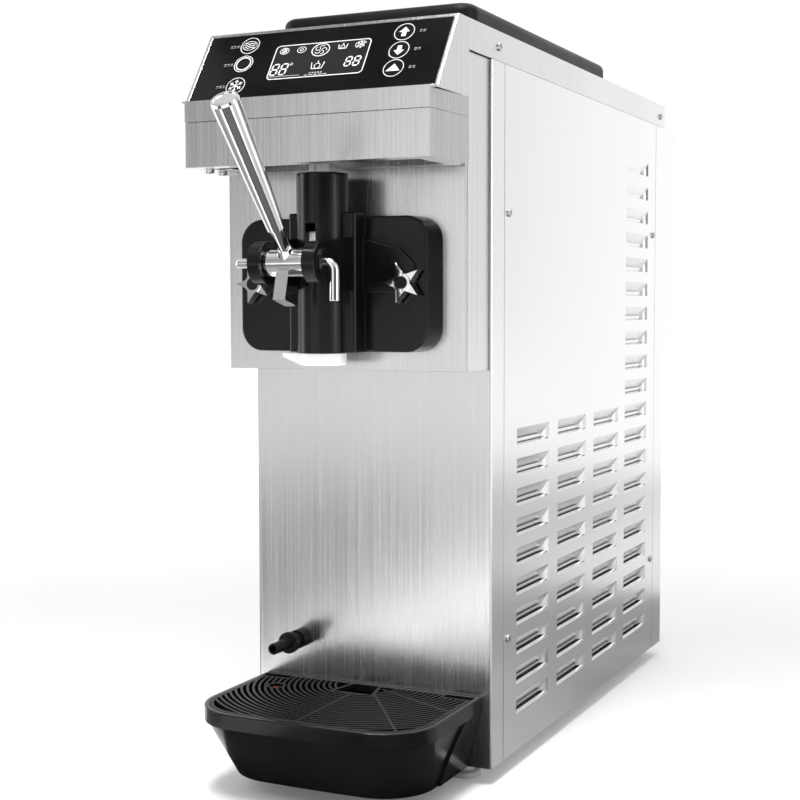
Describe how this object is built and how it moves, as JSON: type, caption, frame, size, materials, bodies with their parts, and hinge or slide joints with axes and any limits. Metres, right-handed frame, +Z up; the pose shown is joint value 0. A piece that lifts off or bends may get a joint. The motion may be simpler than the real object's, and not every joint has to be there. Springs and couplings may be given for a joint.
{
  "type": "ice cream maker",
  "caption": "Countertop soft-serve ice cream maker with a pull-down draw handle, slanted control panel, louvred steel cabinet and hanging drip tray.",
  "frame": {"origin": "bottom centre of the bounding box, on the surface the feet stand on", "axes": "+Z up, -Y towards the operator (front), +X to the operator's right"},
  "size_m": [0.2356, 0.8454, 0.675],
  "materials": {
    "front_steel": "vertical brushed grain",
    "side_steel": "fine brushed grain",
    "food_steel": "polished food-grade steel",
    "galvanised": "dull zinc",
    "screw_steel": "bright",
    "chrome": "mirror chrome",
    "pulley_alu": "turned",
    "copper": "copper tube",
    "machine_paint": "black satin paint",
    "panel_gloss": "gloss black overlay",
    "key_gloss": "gloss black with a light ring",
    "display_dark": "smoked window",
    "door_black": "satin moulded",
    "black_satin": "satin moulded",
    "tray_gloss": "semi-gloss moulded",
    "food_white": "food-grade white",
    "seal_rubber": "matt",
    "foot_grey": "matt grey",
    "float_red": "satin",
    "board_green": "circuit board",
    "foam": "foam block"
  },
  "bodies": {
    "cabinet": {"base_pan": "galvanised", "levelling_feet": "foot_grey", "corner_posts": "side_steel", "right_side_panel": "side_steel", "left_side_panel": "side_steel", "lower_front_panel": "front_steel", "freezer_head_housing": "front_steel", "rear_panel": "side_steel", "rear_air_duct": "side_steel", "top_cover": "front_steel", "console_fascia": "front_steel", "switch_bracket": "galvanised", "case_screws": "screw_steel", "control_panel": "panel_gloss", "display_window": "display_dark", "control_board": "board_green", "hopper": "food_steel", "freezing_cylinder": "food_steel", "evaporator_coil": "copper", "cylinder_insulation": "foam", "rear_shaft_seal": "seal_rubber", "gearbox": "machine_paint", "drive_belt": "seal_rubber", "drive_motor": "machine_paint", "machine_shelf": "galvanised", "compressor": "machine_paint", "condenser": "pulley_alu", "fan_shroud": "galvanised", "fan_motor": "machine_paint", "refrigerant_pipes": "copper", "power_inlet": "black_satin", "dispensing_door": "door_black", "door_seal": "seal_rubber", "door_studs": "screw_steel", "drip_outlet": "black_satin"},
    "draw_handle": {"lever_hub": "chrome", "lever_handle": "chrome"},
    "handle_pin": {"hinge_pin": "chrome"},
    "valve_piston": {"valve_plunger": "food_white", "plunger_seals": "seal_rubber"},
    "outlet_cap": {"nozzle_cap": "food_white"},
    "left_door_knob": {"left_star_knob": "chrome", "left_knob_insert": "black_satin"},
    "right_door_knob": {"right_star_knob": "chrome", "right_knob_insert": "black_satin"},
    "lid": {"hopper_lid": "black_satin"},
    "mix_feed_tube": {"feed_tube": "food_white"},
    "tray": {"drip_tray": "tray_gloss"},
    "grille": {"drip_grille": "black_satin"},
    "tray_float": {"level_float": "float_red"},
    "beater_rotor": {"beater": "food_steel"},
    "gearbox_input": {"gearbox_pulley": "pulley_alu"},
    "motor_rotor": {"motor_pulley": "pulley_alu"},
    "fan_rotor": {"condenser_fan": "black_satin"},
    "blend_key_body": {"blend_key": "key_gloss"},
    "rinse_key_body": {"rinse_key": "key_gloss"},
    "keep_fresh_key_body": {"keep_fresh_key": "key_gloss"},
    "up_key_body": {"up_key": "key_gloss"},
    "down_key_body": {"down_key": "key_gloss"},
    "set_key_body": {"set_key": "key_gloss"}
  },
  "joints": [
    {"name": "handle_swing", "type": "hinge", "parent": "cabinet", "child": "draw_handle", "pos_m": [0, -0.31873, 0.4505], "axis": [1, 0, 0], "range_deg": [0, 30]},
    {"name": "piston_lift", "type": "slide", "parent": "cabinet", "child": "valve_piston", "axis": [0, 0, 1], "range_m": [0, 0.02557]},
    {"name": "pin_withdraw", "type": "slide", "parent": "cabinet", "child": "handle_pin", "axis": [1, 0, 0], "range_m": [0, 0.087]},
    {"name": "outlet_cap_twist", "type": "hinge", "parent": "cabinet", "child": "outlet_cap", "pos_m": [0, -0.26433, 0.372], "axis": [0, 0, 1], "range_deg": [0, 60]},
    {"name": "left_knob_turn", "type": "hinge", "parent": "cabinet", "child": "left_door_knob", "pos_m": [-0.07, -0.25633, 0.435], "axis": [0, 1, 0], "continuous": true},
    {"name": "right_knob_turn", "type": "hinge", "parent": "cabinet", "child": "right_door_knob", "pos_m": [0.07, -0.25633, 0.435], "axis": [0, 1, 0], "continuous": true},
    {"name": "lid_lift", "type": "slide", "parent": "cabinet", "child": "lid", "axis": [0, 0, 1], "range_m": [0, 0.15]},
    {"name": "feed_tube_lift", "type": "slide", "parent": "cabinet", "child": "mix_feed_tube", "axis": [0, 0, 1], "range_m": [0, 0.03]},
    {"name": "tray_pull", "type": "slide", "parent": "cabinet", "child": "tray", "axis": [0, -1, 0], "range_m": [0, 0.12]},
    {"name": "grille_lift", "type": "slide", "parent": "tray", "child": "grille", "axis": [0, 0, 1], "range_m": [0, 0.025]},
    {"name": "float_rise", "type": "slide", "parent": "tray", "child": "tray_float", "axis": [0, 0, 1], "range_m": [0, 0.008]},
    {"name": "beater_spin", "type": "hinge", "parent": "cabinet", "child": "beater_rotor", "pos_m": [0, -0.09733, 0.435], "axis": [0, 1, 0], "continuous": true},
    {"name": "gearbox_input_spin", "type": "hinge", "parent": "cabinet", "child": "gearbox_input", "pos_m": [0, 0.13867, 0.435], "axis": [0, 1, 0], "continuous": true},
    {"name": "motor_spin", "type": "hinge", "parent": "cabinet", "child": "motor_rotor", "pos_m": [0, 0.13867, 0.287], "axis": [0, 1, 0], "continuous": true},
    {"name": "fan_spin", "type": "hinge", "parent": "cabinet", "child": "fan_rotor", "pos_m": [0, -0.07933, 0.145], "axis": [0, 1, 0], "continuous": true},
    {"name": "blend_key_press", "type": "slide", "parent": "cabinet", "child": "blend_key_body", "axis": [0, 0.8333, -0.5528], "range_m": [0, 0.0005], "stiffness_N_per_m": 300},
    {"name": "rinse_key_press", "type": "slide", "parent": "cabinet", "child": "rinse_key_body", "axis": [0, 0.8333, -0.5528], "range_m": [0, 0.0005], "stiffness_N_per_m": 300},
    {"name": "keep_fresh_key_press", "type": "slide", "parent": "cabinet", "child": "keep_fresh_key_body", "axis": [0, 0.8333, -0.5528], "range_m": [0, 0.0005], "stiffness_N_per_m": 300},
    {"name": "up_key_press", "type": "slide", "parent": "cabinet", "child": "up_key_body", "axis": [0, 0.8333, -0.5528], "range_m": [0, 0.0005], "stiffness_N_per_m": 300},
    {"name": "down_key_press", "type": "slide", "parent": "cabinet", "child": "down_key_body", "axis": [0, 0.8333, -0.5528], "range_m": [0, 0.0005], "stiffness_N_per_m": 300},
    {"name": "set_key_press", "type": "slide", "parent": "cabinet", "child": "set_key_body", "axis": [0, 0.8333, -0.5528], "range_m": [0, 0.0005], "stiffness_N_per_m": 300}
  ],
  "couplings": [
    {"joint": "piston_lift", "follows": "handle_swing", "m_per_rad": 0.048652},
    {"joint": "gearbox_input_spin", "follows": "beater_spin", "ratio": 4},
    {"joint": "motor_spin", "follows": "beater_spin", "ratio": 9.6281}
  ]
}
